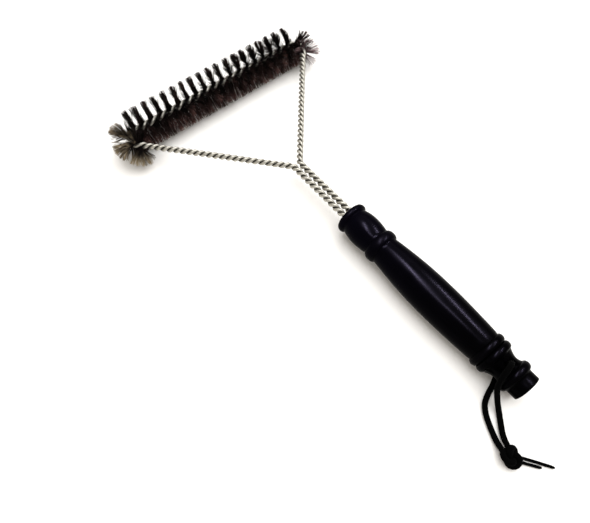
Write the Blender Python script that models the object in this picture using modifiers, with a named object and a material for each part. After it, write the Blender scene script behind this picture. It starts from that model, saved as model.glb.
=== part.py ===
"""Grill cleaning brush: a bristled head of two wires twisted together, bent back into two arms that run
side by side into a turned handle, with a knotted lanyard through the handle's neck.

Metres, +Z up, +Y towards the head.  The brush lies on the floor z = 0 on its bristles and on the rear
beads of its handle, and the origin is under the middle of it.
"""
import math

import bmesh
import bpy
from mathutils import Matrix, Vector

MM = 0.001
CLEARANCE = 0.3 * MM            # gap between pieces that touch

# wire frame, in its own plane: the arms' axes meet at (0, 0) and the handle points to -Y
HEAD_Y = 131.7 * MM             # head core ahead of the arms' meeting point
ARM_ANGLE = math.radians(40.76)     # each arm from the handle's axis
SHANK_X = 3.4 * MM              # each twisted pair from the handle's axis
SHANK_BEND = 8.0 * MM           # bend radius where the arms part
HEAD_BEND = 10.0 * MM           # bend radius at each end of the head
TAIL_DEPTH = 40.0 * MM          # wire inside the handle
WIRE_RADIUS = 1.45 * MM
WIRE_SIDES = 5
ARM_HALF_PITCH = 6.16 * MM      # half a turn of the twist in the arms and the shank
ARM_STEP = math.radians(45)     # twist between two rings of an arm
HEAD_STEP = math.radians(30)    # twist between two rings of the head
SPREAD = 8.0 * MM               # length over which the wires part to take the bristles in
SPREAD_EXTRA = 0.1 * MM         # room for the flat faces of a round wire

# bristles: one tuft is half a turn of the ribbon of bristles that the wires clamp
TUFTS = 23
TUFT_PITCH = 10.33 * MM
TUFT_STEPS = round(math.pi / HEAD_STEP)
BRISTLE_REACH = 20.0 * MM
TUFT_HALF_ANGLE = math.radians(24)
TUFT_CORE = 0.5 * MM            # thickness of the ribbon between the wires
TUFT_WAIST = 1.6 * MM           # half width of that thin part
RIBBON_ANGLE = math.radians(34)     # ribbon at the middle of the head, from +Y towards +Z
INNER_REACH = 6.0 * MM          # bristles on the inside of a bend
ARM_MARGIN = 3.8 * MM           # bristles stay this far from an arm's axis

# handle: its outline is in millimetres, as (distance back from the front face, radius)
FRONT_Y = -66.5 * MM            # front face in the wire frame
HANDLE_LENGTH = 186.0 * MM
HANDLE_STEPS = 28
FRONT_EDGE = [(0, 0), (0, 12.6), (0.5, 13.6)]
COLLAR_BEAD = (3.1, 2.3, 12.9, 14.4)    # centre, half width, base radius, crest radius
COLLAR_GROOVE = (6.2, 12.3)
BARREL = ((7.2, 12.4), (31.4, 12.7), (18.5, 14.2))      # start, end, peak
RING_BEAD = (37.8, 4.6, 12.9, 15.0)
GRIP = ((43.6, 12.7), (144.0, 14.1), (94.0, 16.15))
REAR_BEAD = (149.2, 3.1, 13.7, 15.5)
SECOND_BEAD = (155.5, 2.9, 13.7, 15.3)
NECK = [(159.2, 12.9), (161.0, 12.0), (163.4, 11.1), (165.8, 10.6), (168.0, 10.8), (169.7, 11.5)]
END_BEAD = (173.8, 3.4, 11.9, 14.3)
END_STUB = [(178.0, 11.3), (180.0, 11.2), (184.9, 11.2), (185.7, 10.9), (186.0, 10.2)]
NECK_Y = 165.8 * MM             # lanyard hole, at the neck's waist
NECK_RADIUS = 10.6 * MM
REAR_BEAD_Y = REAR_BEAD[0] * MM
REAR_BEAD_RADIUS = REAR_BEAD[3] * MM
BORE_DEPTH = TAIL_DEPTH + 2 * MM
BORE_GAP = 0.4 * MM             # around the twisted pairs
BORE_ROUNDING = 0.98            # how nearly half round the slot's sides are
HOLE_OVERRUN = 0.5 * MM
HOLE_RADIUS = 2.9 * MM
COUNTERSINK = 2.8 * MM          # depth and extra radius of the hole's mouths
CUT_OVERRUN = 4.0 * MM          # a cutter runs this far past the face it opens

# lanyard
CORD_RADIUS = 2.0 * MM
TAIL_RADIUS = 1.1 * MM
KNOT_RADIUS = 7.2 * MM
KNOT_SQUASH = 0.97
CORD_SPACING = 4 * MM           # between a strand's rings
TAIL_SPACING = 3 * MM

# how the brush lies: on the bristles at the ends of the head, which point straight down at REST_Y, and on
# the handle's rear bead
REST_Y = 112.0 * MM
TILT = math.atan2(BRISTLE_REACH - REAR_BEAD_RADIUS, REST_Y - FRONT_Y + REAR_BEAD_Y)
ORIGIN_Y = (HEAD_Y + BRISTLE_REACH + FRONT_Y - HANDLE_LENGTH) / 2

TWIST_RADIUS = (WIRE_RADIUS + CLEARANCE / 2) / math.cos(ARM_STEP / 2)
SPREAD_RADIUS = (WIRE_RADIUS + CLEARANCE + TUFT_CORE / 2) / math.cos(HEAD_STEP / 2) + SPREAD_EXTRA
CORNER_X = HEAD_Y * math.tan(ARM_ANGLE)
HEAD_TURN = math.pi / 2 + ARM_ANGLE
RIBBON_LENGTH = TUFTS * TUFT_PITCH


def clear_scene():
    for obj in list(bpy.data.objects):
        bpy.data.objects.remove(obj, do_unlink=True)


def collection(name):
    made = bpy.data.collections.new(name)
    bpy.context.scene.collection.children.link(made)
    return made


def material(name, colour, roughness, metallic):
    made = bpy.data.materials.new(name)
    made.use_nodes = True
    shader = made.node_tree.nodes["Principled BSDF"]
    shader.inputs["Base Color"].default_value = (*colour, 1)
    shader.inputs["Roughness"].default_value = roughness
    shader.inputs["Metallic"].default_value = metallic
    return made


def add_mesh_object(name, bm, group, finish, parent=None):
    """A new object from a bmesh, with its faces pointing out."""
    bmesh.ops.recalc_face_normals(bm, faces=bm.faces)
    mesh = bpy.data.meshes.new(name)
    bm.to_mesh(mesh)
    bm.free()
    mesh.shade_smooth()
    mesh.set_sharp_from_angle(angle=math.radians(40))
    obj = bpy.data.objects.new(name, mesh)
    group.objects.link(obj)
    obj.data.materials.append(finish)
    obj.parent = parent
    return obj


def loft(bm, rings):
    """Skin a list of rings with the same number of points, and close both ends."""
    rows = [[bm.verts.new(point) for point in ring] for ring in rings]
    count = len(rows[0])
    for low, high in zip(rows, rows[1:]):
        for i in range(count):
            j = (i + 1) % count
            bm.faces.new((low[i], low[j], high[j], high[i]))
    bm.faces.new(rows[0])
    bm.faces.new(rows[-1])


# the wires' route: straight runs and bends in the frame's plane, from the left tail to the right one

def route_legs():
    """(length, turn) of each leg; a leg with no turn is straight, and a positive turn is to the left."""
    bend_run = SHANK_BEND * math.tan(ARM_ANGLE / 2)
    head_run = HEAD_BEND / math.tan((math.pi - HEAD_TURN) / 2)
    fork_y = SHANK_X / math.tan(ARM_ANGLE)
    arm = math.hypot(CORNER_X - SHANK_X, HEAD_Y - fork_y) - bend_run - head_run
    tail = fork_y - bend_run - FRONT_Y + TAIL_DEPTH
    head = 2 * (CORNER_X - head_run)
    half = [(tail, 0), (SHANK_BEND * ARM_ANGLE, ARM_ANGLE), (arm, 0), (HEAD_BEND * HEAD_TURN, -HEAD_TURN)]
    return half + [(head, 0)] + half[::-1]


LEGS = route_legs()
ROUTE_LENGTH = sum(length for length, _ in LEGS)
MIDDLE = ROUTE_LENGTH / 2
HEAD_HALF = LEGS[4][0] / 2


def route_at(s):
    """Position and heading on the route, s metres from its left end."""
    x, y, heading = -SHANK_X, FRONT_Y - TAIL_DEPTH, math.pi / 2
    for length, turn in LEGS:
        part = min(max(s, 0), length)
        if turn:
            radius = length / turn
            after = heading + part / radius
            x += radius * (math.sin(after) - math.sin(heading))
            y -= radius * (math.cos(after) - math.cos(heading))
            heading = after
        else:
            x += part * math.cos(heading)
            y += part * math.sin(heading)
        s -= length
        if s <= 0:
            break
    return Vector((x, y, 0)), heading


def across(s, angle):
    """Unit vector across the route at s, turned by angle from its left side towards +Z."""
    heading = route_at(s)[1]
    side = Vector((-math.sin(heading), math.cos(heading), 0))
    return side * math.cos(angle) + Vector((0, 0, math.sin(angle)))


def twist_at(s):
    """Angle of the ribbon between the wires.  It falls along the route: the twist is left-handed."""
    from_middle = s - MIDDLE
    in_ribbon = min(abs(from_middle), RIBBON_LENGTH / 2)
    beyond = abs(from_middle) - in_ribbon
    turned = math.pi * (in_ribbon / TUFT_PITCH + beyond / ARM_HALF_PITCH)
    return RIBBON_ANGLE - math.copysign(turned, from_middle)


def wire_stations():
    """Places along the route at which the wires have a ring: equal steps of twist from the middle."""
    head_steps = TUFTS * TUFT_STEPS
    stations = [MIDDLE - RIBBON_LENGTH / 2 + RIBBON_LENGTH * i / head_steps for i in range(head_steps + 1)]
    step = ARM_HALF_PITCH * ARM_STEP / math.pi
    outside = MIDDLE - RIBBON_LENGTH / 2
    count = math.ceil(outside / step)
    left = [outside * i / count for i in range(count)]
    right = [ROUTE_LENGTH - s for s in reversed(left)]
    return left + stations + right


def wire_offset(s):
    """Each wire's distance from the pair's axis: wider where the bristles pass between them."""
    beyond = abs(s - MIDDLE) - RIBBON_LENGTH / 2
    share = min(max(beyond / SPREAD, 0), 1)
    ease = share * share * (3 - 2 * share)
    return SPREAD_RADIUS + (TWIST_RADIUS - SPREAD_RADIUS) * ease


def wire_centre(s, side):
    place = route_at(s)[0]
    return place + across(s, twist_at(s) + side * math.pi / 2) * wire_offset(s)


def wire_strand(name, side, group, finish, parent):
    """One of the two wires, from its end in the handle round the head and back."""
    centres = [wire_centre(s, side) for s in wire_stations()]
    bm = bmesh.new()
    rings = []
    for i, centre in enumerate(centres):
        before = centres[max(i - 1, 0)]
        after = centres[min(i + 1, len(centres) - 1)]
        along = (after - before).normalized()
        upright = Vector((0, 0, 1)) - along * along.z
        upright.normalize()
        sideways = along.cross(upright)
        ring = []
        for corner in range(WIRE_SIDES):
            angle = math.tau * corner / WIRE_SIDES
            ring.append(centre + (upright * math.cos(angle) + sideways * math.sin(angle)) * WIRE_RADIUS)
        rings.append(ring)
    loft(bm, rings)
    return add_mesh_object(name, bm, group, finish, parent)


# bristles

def inward_limit(s):
    """How far bristles may reach towards the inside of the frame: past it they would meet an arm."""
    along = abs(s - MIDDLE)
    if along > HEAD_HALF:
        return INNER_REACH
    to_arm = (CORNER_X - along) * math.cos(ARM_ANGLE) - ARM_MARGIN
    return min(BRISTLE_REACH, to_arm / math.sin(ARM_ANGLE))


def tuft_ring(s):
    """The tuft's section at s: two wedges of bristles, thin between the wires."""
    place = route_at(s)[0]
    twist = twist_at(s)
    limit = inward_limit(s)
    ring = []
    for turn in (0, math.pi):
        across_ribbon = across(s, twist + turn + math.pi / 2) * (TUFT_CORE / 2)
        along_ribbon = across(s, twist + turn)
        ring.append(place + along_ribbon * TUFT_WAIST - across_ribbon)
        for lean in (-TUFT_HALF_ANGLE, 0, TUFT_HALF_ANGLE):
            angle = twist + turn + lean
            inward = -math.cos(angle)
            reach = BRISTLE_REACH
            if inward > 0:
                reach = min(reach, limit / inward)
            ring.append(place + across(s, angle) * reach)
        ring.append(place + along_ribbon * TUFT_WAIST + across_ribbon)
    return ring


def bristle_tuft(number, group, finish, parent):
    start = MIDDLE - RIBBON_LENGTH / 2 + number * TUFT_PITCH
    places = [start + TUFT_PITCH * i / TUFT_STEPS for i in range(TUFT_STEPS + 1)]
    places[0] += CLEARANCE / 2
    places[-1] -= CLEARANCE / 2
    bm = bmesh.new()
    loft(bm, [tuft_ring(s) for s in places])
    return add_mesh_object(f"bristle_tuft_{number + 1:02d}", bm, group, finish, parent)


# handle

def bead(centre, half_width, base, crest, steps=6):
    """A turned bead: (y, radius) along half an ellipse."""
    points = []
    for i in range(steps + 1):
        angle = math.pi * i / steps
        points.append((centre - half_width * math.cos(angle), base + (crest - base) * math.sin(angle)))
    return points


def swell(start, end, peak, steps, fullness):
    """A long swelling between two (y, radius) ends, through a peak; each side is a quarter wave."""
    points = []
    for i in range(steps + 1):
        y = start[0] + (end[0] - start[0]) * i / steps
        low = start if y < peak[0] else end
        share = max(0, (y - low[0]) / (peak[0] - low[0]))
        points.append((y, low[1] + (peak[1] - low[1]) * math.sin(share * math.pi / 2) ** fullness))
    return points


def handle_profile():
    """Outline of the handle from the middle of its front face to the middle of its rear end."""
    outline = list(FRONT_EDGE)
    outline += bead(*COLLAR_BEAD, steps=4)[1:]
    outline += [COLLAR_GROOVE]
    outline += swell(*BARREL, steps=7, fullness=0.8)
    outline += bead(*RING_BEAD)
    outline += swell(*GRIP, steps=12, fullness=0.9)
    outline += bead(*REAR_BEAD)
    outline += bead(*SECOND_BEAD)[1:]
    outline += NECK
    outline += bead(*END_BEAD)
    outline += END_STUB
    outline += [(END_STUB[-1][0], 0)]
    return outline


def handle_bar(group, finish, parent):
    """The turned handle: its outline spun about its axis, which runs along -Y."""
    bm = bmesh.new()
    points = [bm.verts.new((radius * MM, 0, -back * MM)) for back, radius in handle_profile()]
    for a, b in zip(points, points[1:]):
        bm.edges.new((a, b))
    mesh = bpy.data.meshes.new("handle")
    bm.to_mesh(mesh)
    bm.free()
    mesh.shade_smooth()
    obj = bpy.data.objects.new("handle", mesh)
    group.objects.link(obj)
    obj.data.materials.append(finish)
    spin = obj.modifiers.new("turned", "SCREW")
    spin.angle = math.tau
    spin.steps = HANDLE_STEPS
    spin.render_steps = HANDLE_STEPS
    spin.use_merge_vertices = True
    spin.merge_threshold = 0.00005
    spin.use_smooth_shade = True
    obj.parent = parent
    obj.location = (0, FRONT_Y, 0)
    obj.rotation_euler = (-math.pi / 2, 0, 0)
    return obj


def as_cutter(obj, group, parent):
    for holder in list(obj.users_collection):
        holder.objects.unlink(obj)
    group.objects.link(obj)
    obj.parent = parent
    obj.hide_render = True
    obj.display_type = "WIRE"
    return obj


def bore_cutter(group, parent):
    """A flat-sided slot with round ends, for the two twisted pairs side by side."""
    half_height = TWIST_RADIUS + WIRE_RADIUS + BORE_GAP
    half_width = SHANK_X + half_height
    start = FRONT_Y + CUT_OVERRUN
    bm = bmesh.new()
    bmesh.ops.create_cube(bm, size=2.0)
    length = BORE_DEPTH + CUT_OVERRUN
    bmesh.ops.scale(bm, vec=(half_width, length / 2, half_height), verts=bm.verts)
    bmesh.ops.translate(bm, vec=(0, start - length / 2, 0), verts=bm.verts)
    long_edges = [e for e in bm.edges if abs(e.verts[0].co.y - e.verts[1].co.y) > length / 2]
    bmesh.ops.bevel(bm, geom=long_edges, offset=half_height * BORE_ROUNDING,
                     segments=4, profile=0.5, affect="EDGES")
    bmesh.ops.recalc_face_normals(bm, faces=bm.faces)
    mesh = bpy.data.meshes.new("cut_bore")
    bm.to_mesh(mesh)
    bm.free()
    obj = bpy.data.objects.new("cut_bore", mesh)
    bpy.context.scene.collection.objects.link(obj)
    return as_cutter(obj, group, parent)


def hole_cutter(group, parent):
    """The lanyard hole through the neck, with a countersunk mouth at each end."""
    half = NECK_RADIUS + HOLE_OVERRUN
    profile = [(0, half), (HOLE_RADIUS + COUNTERSINK, half), (HOLE_RADIUS, half - COUNTERSINK),
               (HOLE_RADIUS, COUNTERSINK - half), (HOLE_RADIUS + COUNTERSINK, -half), (0, -half)]
    bm = bmesh.new()
    rim = [bm.verts.new((radius, 0, z)) for radius, z in profile]
    edges = [bm.edges.new((a, b)) for a, b in zip(rim, rim[1:])]
    bmesh.ops.spin(bm, geom=rim + edges, axis=(0, 0, 1), cent=(0, 0, 0), angle=math.tau, steps=16)
    bmesh.ops.remove_doubles(bm, verts=bm.verts, dist=0.00001)
    bmesh.ops.recalc_face_normals(bm, faces=bm.faces)
    mesh = bpy.data.meshes.new("cut_lanyard_hole")
    bm.to_mesh(mesh)
    bm.free()
    obj = bpy.data.objects.new("cut_lanyard_hole", mesh)
    bpy.context.scene.collection.objects.link(obj)
    obj.location = (0, FRONT_Y - NECK_Y, 0)
    return as_cutter(obj, group, parent)


def cut(obj, tool):
    change = obj.modifiers.new("cut", "BOOLEAN")
    change.operation = "DIFFERENCE"
    change.object = tool
    change.solver = "EXACT"


# lanyard, in world coordinates: it lies on the floor beside the handle's end

def smooth_points(route, spacing):
    """Even points along a Catmull-Rom curve through the route's own points."""
    ends = [route[0] * 2 - route[1]] + route + [route[-1] * 2 - route[-2]]
    fine = []
    for a, b, c, d in zip(ends, ends[1:], ends[2:], ends[3:]):
        for i in range(24):
            t = i / 24
            fine.append(0.5 * (b * 2 + (c - a) * t + (a * 2 - b * 5 + c * 4 - d) * t ** 2
                               + (b * 3 - a - c * 3 + d) * t ** 3))
    fine.append(route[-1])
    lengths = [0]
    for a, b in zip(fine, fine[1:]):
        lengths.append(lengths[-1] + (b - a).length)
    count = max(2, round(lengths[-1] / spacing))
    points = []
    for i in range(count + 1):
        target = lengths[-1] * i / count
        k = max(j for j, value in enumerate(lengths) if value <= target + 1e-12)
        if k == len(fine) - 1:
            points.append(fine[-1])
        else:
            points.append(fine[k].lerp(fine[k + 1], (target - lengths[k]) / (lengths[k + 1] - lengths[k])))
    return points


def tube(name, route, radius, spacing, group, finish, parent):
    """A round cord along a route given in world millimetres."""
    points = smooth_points([Vector(p) * MM for p in route], spacing)
    curve = bpy.data.curves.new(name, "CURVE")
    curve.dimensions = "3D"
    curve.bevel_depth = radius
    curve.bevel_resolution = 2
    curve.use_fill_caps = True
    line = curve.splines.new("POLY")
    line.points.add(len(points) - 1)
    for slot, point in zip(line.points, points):
        slot.co = (*point, 1)
    obj = bpy.data.objects.new(name, curve)
    group.objects.link(obj)
    obj.data.materials.append(finish)
    obj.parent = parent
    obj.matrix_parent_inverse = parent.matrix_world.inverted()
    return obj


# the cord passes through the neck: one strand leaves the top of the hole, and the other its underside
STRAND_OVER = [
    (0, -181.9, 15.7), (0, -181.9, 20.5), (0, -181.9, 25.4), (-1.7, -182.1, 29.9), (-5.8, -182.5, 32.8),
    (-10.6, -183.3, 32.0), (-14.4, -184.5, 28.4), (-16.6, -186.1, 23.9), (-17.8, -187.8, 19.6),
    (-18.5, -190.1, 15.2), (-19.2, -193.1, 10.6), (-20.3, -196.5, 6.4), (-22.4, -200.9, 3.1),
    (-25.4, -204.8, 2.1), (-28.4, -208.2, 2.1), (-31.4, -211.7, 2.2), (-34.2, -215.3, 3.3),
    (-36.6, -218.9, 5.0)]
STRAND_UNDER = [
    (0, -181.9, 15.1), (0, -181.9, 12.4), (0, -181.9, 9.6), (-0.7, -182.3, 5.7), (-3.0, -183.2, 3.0),
    (-6.5, -184.6, 2.2), (-11.6, -186.4, 2.1), (-18.0, -188.0, 2.1), (-24.4, -190.5, 2.1),
    (-28.6, -193.9, 2.1), (-31.8, -198.1, 2.1), (-34.4, -202.7, 2.1), (-36.7, -207.3, 2.1),
    (-39.0, -212.1, 2.7), (-41.0, -216.5, 4.6)]
KNOT_CENTRE = (-41.0, -224.7, 7.3)
TAIL_LONG = [
    (-35.6, -229.1, 3.4), (-33.6, -231.3, 1.9), (-31.3, -234.4, 1.3), (-28.6, -238.3, 1.2),
    (-25.1, -243.6, 1.2), (-21.6, -248.9, 1.2)]
TAIL_SHORT = [
    (-37.6, -230.9, 2.8), (-35.9, -233.1, 1.6), (-34.0, -235.7, 1.2), (-31.4, -239.3, 1.2),
    (-28.5, -243.3, 1.2)]


def lanyard_knot(group, finish, parent):
    bm = bmesh.new()
    bmesh.ops.create_icosphere(bm, subdivisions=3, radius=KNOT_RADIUS)
    bmesh.ops.scale(bm, vec=(1, 1, KNOT_SQUASH), verts=bm.verts)
    obj = add_mesh_object("lanyard_knot", bm, group, finish, parent)
    obj.matrix_parent_inverse = parent.matrix_world.inverted()
    obj.location = Vector(KNOT_CENTRE) * MM
    return obj


def empty(name, location, rotation, group):
    obj = bpy.data.objects.new(name, None)
    group.objects.link(obj)
    obj.location = location
    obj.rotation_euler = rotation
    return obj


def main():
    clear_scene()
    parts = collection("grill_cleaning_brush")
    cutters = collection("cutters")
    steel = material("galvanised_wire", (0.72, 0.70, 0.64), 0.32, 1.0)
    bristle = material("dark_steel_bristle", (0.05, 0.04, 0.035), 0.45, 0.6)
    lacquer = material("black_lacquered_wood", (0.012, 0.012, 0.015), 0.3, 0.0)
    cord = material("black_cord", (0.012, 0.012, 0.013), 0.85, 0.0)

    height = BRISTLE_REACH - REST_Y * math.sin(TILT)
    frame = empty("brush_frame", (0, -ORIGIN_Y * math.cos(TILT), height), (TILT, 0, 0), parts)
    hole = Vector(STRAND_OVER[0]) * MM
    swing = empty("lanyard_swing", (hole.x, hole.y, 0), (0, 0, 0), parts)
    bpy.context.view_layer.update()

    handle = handle_bar(parts, lacquer, frame)
    cut(handle, bore_cutter(cutters, frame))
    cut(handle, hole_cutter(cutters, frame))
    wire_strand("wire_strand_a", 1, parts, steel, frame)
    wire_strand("wire_strand_b", -1, parts, steel, frame)
    for number in range(TUFTS):
        bristle_tuft(number, parts, bristle, frame)
    tube("lanyard_strand_over", STRAND_OVER, CORD_RADIUS, CORD_SPACING, parts, cord, swing)
    tube("lanyard_strand_under", STRAND_UNDER, CORD_RADIUS, CORD_SPACING, parts, cord, swing)
    lanyard_knot(parts, cord, swing)
    tube("lanyard_tail_long", TAIL_LONG, TAIL_RADIUS, TAIL_SPACING, parts, cord, swing)
    tube("lanyard_tail_short", TAIL_SHORT, TAIL_RADIUS, TAIL_SPACING, parts, cord, swing)


main()
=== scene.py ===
"""Looks of the grill cleaning brush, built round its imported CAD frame.  Metres, +Z up, +Y towards the head.

Twisted wires, separate bristles, a finely turned handle and a braided lanyard stand for the plain CAD solids,
on the same routes and at the same sizes.
"""

import math
import random

import bmesh
import bpy
import numpy as np
from mathutils import Matrix, Vector


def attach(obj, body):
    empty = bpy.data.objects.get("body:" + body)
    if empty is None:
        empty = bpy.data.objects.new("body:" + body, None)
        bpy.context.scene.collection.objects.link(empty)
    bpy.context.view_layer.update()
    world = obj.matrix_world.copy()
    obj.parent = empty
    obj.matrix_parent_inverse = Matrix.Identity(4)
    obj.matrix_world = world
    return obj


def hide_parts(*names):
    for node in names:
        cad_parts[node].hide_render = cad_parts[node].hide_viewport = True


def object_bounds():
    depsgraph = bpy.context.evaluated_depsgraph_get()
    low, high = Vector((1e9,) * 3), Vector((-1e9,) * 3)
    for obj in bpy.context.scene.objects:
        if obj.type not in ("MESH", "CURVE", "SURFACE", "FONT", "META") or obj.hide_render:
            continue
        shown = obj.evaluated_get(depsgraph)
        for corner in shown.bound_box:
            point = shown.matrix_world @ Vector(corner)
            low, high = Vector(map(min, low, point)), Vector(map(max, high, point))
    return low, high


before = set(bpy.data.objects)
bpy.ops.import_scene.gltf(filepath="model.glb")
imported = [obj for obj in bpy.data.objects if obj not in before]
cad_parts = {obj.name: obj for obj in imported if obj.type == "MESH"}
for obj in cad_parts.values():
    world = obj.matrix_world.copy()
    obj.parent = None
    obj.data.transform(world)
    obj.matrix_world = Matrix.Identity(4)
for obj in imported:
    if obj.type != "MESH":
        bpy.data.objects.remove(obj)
CAD_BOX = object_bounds()

MM = 0.001
BODY = "brush"
CORD_BODY = "lanyard"
SKEW = (0.31, 0.57, 0.76)       # a direction that no line here starts along

# camera: its place in metres, where it looks, and its lens in millimetres
CAMERA_PLACE = (-0.1659, -0.1504, 0.3401)
CAMERA_HEADING = math.radians(38.29)    # from +Y towards +X
CAMERA_PITCH = math.radians(62.80)      # below the horizon
CAMERA_ROLL = math.radians(-1.09)
CAMERA_LENS = 27.46
SENSOR_WIDTH = 36.0
CLIP_START = 0.01

# light: places and sizes in metres, powers in watts
WORLD_COLOUR = (1.0, 0.935, 0.86)
WORLD_STRENGTH = 0.74
KEY_PLACE = (0.52, 0.1, 1.5)
KEY_SIZE = 2.2
KEY_POWER = 42
KEY_COLOUR = (0.98, 0.99, 1.0)
STRIP_TARGET = (0, -0.13, 0.02)
STRIP_COLOUR = (0.80, 0.76, 1.0)
STRIPS = {                      # start, end, width and power
    "strip_front": ((0.15, 0.32, 1.05), (-0.25, 0.05, 1.05), 0.06, 50),
    "strip_rear": ((-0.31, 0.02, 1.05), (-0.26, -0.24, 1.05), 0.06, 12),
    "strip_right": ((0.85, 0.0, 1.05), (0.42, -0.34, 1.05), 0.05, 51)}
FLOOR_SIZE = 8.0

# wire frame, in its own plane: the arms' axes meet at (0, 0) and the handle points to -Y
HEAD_Y = 131.7 * MM
ARM_ANGLE = math.radians(40.76)
SHANK_X = 3.4 * MM
SHANK_BEND = 8.0 * MM
HEAD_BEND = 10.0 * MM
TAIL_DEPTH = 40.0 * MM
ARM_HALF_PITCH = 6.16 * MM
WIRE_RADIUS = 1.5 * MM
TWIST_RADIUS = 1.53 * MM        # each wire's axis from the pair's
SPREAD_RADIUS = 1.85 * MM       # the same where the bristles pass between the wires
SPREAD_RUN = 8.0 * MM           # past the bristles, over which the wires close up
WIRE_SIDES = 14
TWIST_STEPS = 12                # rings in half a turn
CREASE_SHADE_EDGE = 0.32               # painted shade where the strands face each other starts where the cosine of the angle from the other wire is minus this
CREASE_SHADE_FADE = 0.45               # and is full where it is this much more

# bristles: the ribbon that they make between the wires
TUFTS = 23
TUFT_PITCH = 10.33 * MM
RIBBON_ANGLE = math.radians(34)         # at the head's middle
RIBBON_LENGTH = TUFTS * TUFT_PITCH
LEFT_SLIP = (math.radians(53), 75 * MM, 30 * MM)        # how far the twist slips, from where, over what run
RIGHT_SLIP = (math.radians(-40), 95 * MM, 10 * MM)
SEED = 4100                     # for the first tuft
BRISTLES_IN_TUFT = 240
BRISTLES_IN_END_TUFT = 330
END_TUFTS = 2                   # tufts that go round each end
BRISTLE_RADIUS = 0.15 * MM
BRISTLE_SIDES = 4
BRISTLE_PLACES = (0.07, 0.3, 0.55, 0.8, 1.0)    # rings of half a bristle, as shares of its reach
LAYERS = 0.22 * MM              # half the thickness of the ribbon between the wires
BOW = 0.5 * MM                  # how far a tip bends across the ribbon
ANGLE_SPREAD = math.radians(3.0)
END_RISE = 2.5                  # how quickly the straight part of the head turns into its ends

# bristles: what they keep clear of
OWN_STRETCH = 11.0 * MM         # a bristle isn't pushed off the wire this near its own root
WIRE_GAP = 3.5 * MM             # bristles are pushed this far from the axis of an arm
IN_PLANE = 0.5 * MM             # a bristle this near the arms' plane is first lifted off it
LIFT = 1.0 * MM
ROUTE_STEP = 1 * MM
BOX_GAP = 0.3 * MM              # a bristle's axis keeps this far inside the object's own box
EDGE_GAP = 0.4 * MM             # bristles stop this short of the object's two sides
SIDEWAYS = 0.1                  # the least that a bristle points to a side for that to matter

# bristles: how long they are
BRISTLE_REACH = 20.0 * MM
UPPER_SIDE = math.radians(40)   # the way the worn upper row points, from +Y towards +Z
UPPER_SHORT = 0.075             # how much shorter they are worn on top at the far right
CHANCE_SHORT = 0.15             # the most that chance takes off
LOW_REACH = 0.06                # how much longer the unworn lower side is
LOW_REACH_RIGHT = 0.06          # what is added to that at the far right
RIGHT_END_SHORT = 0.42          # how much shorter they are on top, round the right end
INNER_SHORT = 0.55              # how much shorter round both ends, where they point into the frame
INNER_LEAST = 0.4
INNER_START = 0.3               # the share of an end's turn at which that starts
RIGHT_WORN_START = 105.5 * MM   # from the head's middle, where only fine worn bristles are left
RIGHT_WORN_RUN = 4.0 * MM
RIGHT_WORN_AWAY = 0.25          # share of the bristles that are gone there
RIGHT_WORN_SHORT = 0.2
RIGHT_WORN_THIN = 0.35

# bristles: how they lean along the head, in metres for each metre outwards
LEFT_LEAN = 0.085
RIGHT_LEAN = 0.035
LEFT_END_LEAN = -0.03
LOW_LEAN = 0.062                # added to it where they point down and into the frame
STRAY_LEAN = 0.12
STRAY_SHARE = 0.09
MOST_LEAN = 2.2                 # the most that chance adds, in spreads
TUFT_LEAN = 0.025
CLUMP_SIZE = 7                  # round the ends the bristles stand in clumps
LEFT_CLUMP_LEAN = 0.34
RIGHT_CLUMP_LEAN = 0.14
CLUMP_TURN = math.radians(13)   # how far clumps are turned round the wires
STREAK_SIZE = 18                # bristles side by side that share most of their tone and some of their lean
STREAK_LEAN = 0.05
RIGHT_SPLAY = (0.5, 100 * MM, 3.5 * MM)     # extra lean to the right: how much, where, over what width

# bristles: soot, and tips that are scrubbed bare
STREAK_SHARE = 0.65             # how much of a bristle's tone is its streak's
CLUMP_SOOT = 0.8                # how much darker the tips of the sootiest clumps are, at the left end
SCRUBBED_SIDE = math.radians(48)        # opposite the brightest tips
SCRUBBED_FADE = 0.7             # the lower, the further from there tips are bright
INNER_CLEAN = (0.15, 0.6)       # round the ends, tips get sooty as they point inwards: shift and run
UPPER_SOOT = 0.6                # how much less the tips on top of the ends are scrubbed
UPPER_TIP = 0.12                # how bright the worn tips of the upper row are
SCRUB_START = 0.75              # share of the reach at which the scrubbed tip starts
SCRUB_START_LEFT = 0.6          # how much sooner at the far left
SHADE_LEFT = 1.1                # how bare the steel shows through the soot at the head's left end
SHADE_RIGHT = 0.12

# handle: its outline is in millimetres, as (distance back from the front face, radius)
FRONT_Y = -66.5 * MM
HANDLE_LENGTH = 186.0 * MM
HANDLE_SIDES = 96
FRONT_EDGE = [(0, 0), (0, 12.2), (0.15, 12.8), (0.6, 13.5)]
COLLAR_BEAD = (3.1, 2.4, 12.9, 14.4)    # centre, half width, base radius, crest radius
COLLAR_GROOVE = (6.2, 12.3)
BARREL = ((7.2, 12.4), (31.4, 12.7), (18.5, 14.2))          # start, end and peak
RING_BEAD = (37.8, 4.6, 12.9, 15.0)
GRIP = ((43.6, 12.7), (144.0, 14.1), (94.0, 16.15))         # start, end and peak
REAR_BEAD = (149.2, 3.1, 13.7, 15.5)
SECOND_BEAD = (155.5, 2.9, 13.7, 15.3)
NECK = [(159.2, 12.9), (161.0, 12.0), (163.4, 11.1), (165.8, 10.6), (168.0, 10.8), (169.7, 11.5)]
END_BEAD = (173.8, 3.4, 11.9, 14.3)
END_STUB = [(178.0, 11.3), (180.0, 11.2), (184.9, 11.2), (185.7, 10.9), (186.0, 10.2)]
NECK_Y = 165.8 * MM
NECK_RADIUS = 10.6 * MM
BORE_DEPTH = 42.0 * MM
BORE_HALF_HEIGHT = 3.6 * MM
BORE_ROUNDING = 0.98            # how nearly half round the bore's sides are
BORE_STEPS = 8
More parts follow.
